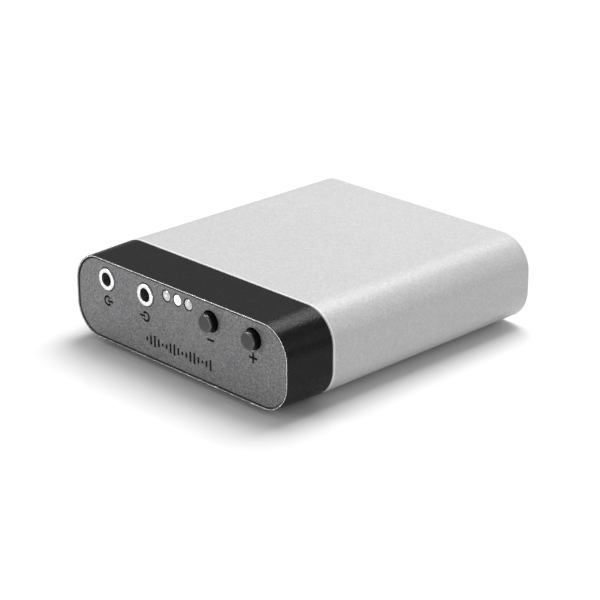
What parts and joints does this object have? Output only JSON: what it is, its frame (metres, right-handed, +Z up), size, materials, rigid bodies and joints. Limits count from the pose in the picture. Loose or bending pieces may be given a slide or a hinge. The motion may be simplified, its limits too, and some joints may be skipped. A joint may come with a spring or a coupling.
{
  "type": "desktop headphone dac",
  "caption": "Small rounded box in a pale metal sleeve with a dark front: two 3.5 mm jacks, status lights and minus and plus keys, with a USB socket at the back.",
  "frame": {"origin": "on the surface the feet stand on, in the middle of the width and of the whole depth, keys included", "axes": "+Z up, -Y the way the front panel faces, +X to the right seen from the front"},
  "size_m": [0.08, 0.0896, 0.0245],
  "materials": {
    "sleeve_metal": "anodised, fine bead-blasted sparkle",
    "bezel_black": "black anodised, with a bright-cut rim",
    "panel_grey": "blasted and anodised dark grey",
    "tape": "adhesive tissue tape",
    "ink": "baked ink",
    "screw_steel": "zinc plated",
    "rear_black": "fine powder coat",
    "foot_rubber": "moulded matt",
    "board_green": "solder resist",
    "nickel": "nickel plated",
    "jack_plastic": "glass-filled moulded",
    "contact_gold": "gold flashed",
    "led_clear": "diffused water-clear epoxy",
    "led_lit": "diffused epoxy, lit white",
    "lead_tin": "tinned",
    "key_black": "satin moulded",
    "switch_plastic": "moulded",
    "plated_sheet": "tin-plated sheet",
    "chip_black": "moulded epoxy",
    "can_aluminium": "bright drawn",
    "film_red": "dipped case",
    "ferrite": "pressed ferrite",
    "ceramic": "fired ceramic",
    "cell_foil": "laminated foil pouch",
    "foam": "closed-cell foam",
    "fish_paper": "insulating paper",
    "wire_red": "pvc insulation",
    "wire_black": "pvc insulation",
    "connector_ivory": "moulded nylon"
  },
  "bodies": {
    "housing": {"sleeve": "sleeve_metal", "front_bezel": "bezel_black", "front_panel": "panel_grey", "panel_tape": "tape", "panel_symbols": "ink", "bezel_screws": "screw_steel", "rear_panel": "rear_black", "rear_screws": "screw_steel", "foot_front_left": "foot_rubber", "foot_front_right": "foot_rubber", "foot_rear_left": "foot_rubber", "foot_rear_right": "foot_rubber", "main_board": "board_green", "headphone_jack_ring": "nickel", "headphone_jack_body": "jack_plastic", "headphone_jack_contacts": "contact_gold", "line_in_jack_ring": "nickel", "line_in_jack_body": "jack_plastic", "line_in_jack_contacts": "contact_gold", "led_left": "led_clear", "led_middle": "led_lit", "led_right": "led_clear", "led_holder": "jack_plastic", "led_leads": "lead_tin", "minus_switch_dome": "plated_sheet", "minus_switch_body": "switch_plastic", "minus_switch_cover": "plated_sheet", "plus_switch_dome": "plated_sheet", "plus_switch_body": "switch_plastic", "plus_switch_cover": "plated_sheet", "usb_socket_shell": "plated_sheet", "usb_socket_tongue": "jack_plastic", "usb_socket_contacts": "contact_gold", "dac_chip": "chip_black", "usb_chip": "chip_black", "amplifier_chips": "chip_black", "volume_chip": "chip_black", "charger_chip": "chip_black", "capacitor_cans": "can_aluminium", "capacitor_bases": "chip_black", "film_capacitors": "film_red", "clock_crystals": "can_aluminium", "power_inductors": "ferrite", "small_board_parts": "ceramic", "battery_cell": "cell_foil", "battery_guard_board": "board_green", "battery_pad": "foam", "insulator_sheet": "fish_paper", "battery_lead_red": "wire_red", "battery_lead_black": "wire_black", "battery_plug": "connector_ivory", "battery_socket": "connector_ivory"},
    "minus_key": {"minus_button": "key_black", "minus_switch_plunger": "switch_plastic"},
    "plus_key": {"plus_button": "key_black", "plus_switch_plunger": "switch_plastic"}
  },
  "joints": [
    {"name": "minus_press", "type": "slide", "parent": "housing", "child": "minus_key", "axis": [0, 1, 0], "range_m": [0, 0.0005], "stiffness_N_per_m": 1000, "springref_m": -0.0004},
    {"name": "plus_press", "type": "slide", "parent": "housing", "child": "plus_key", "axis": [0, 1, 0], "range_m": [0, 0.0005], "stiffness_N_per_m": 1000, "springref_m": -0.0004}
  ]
}
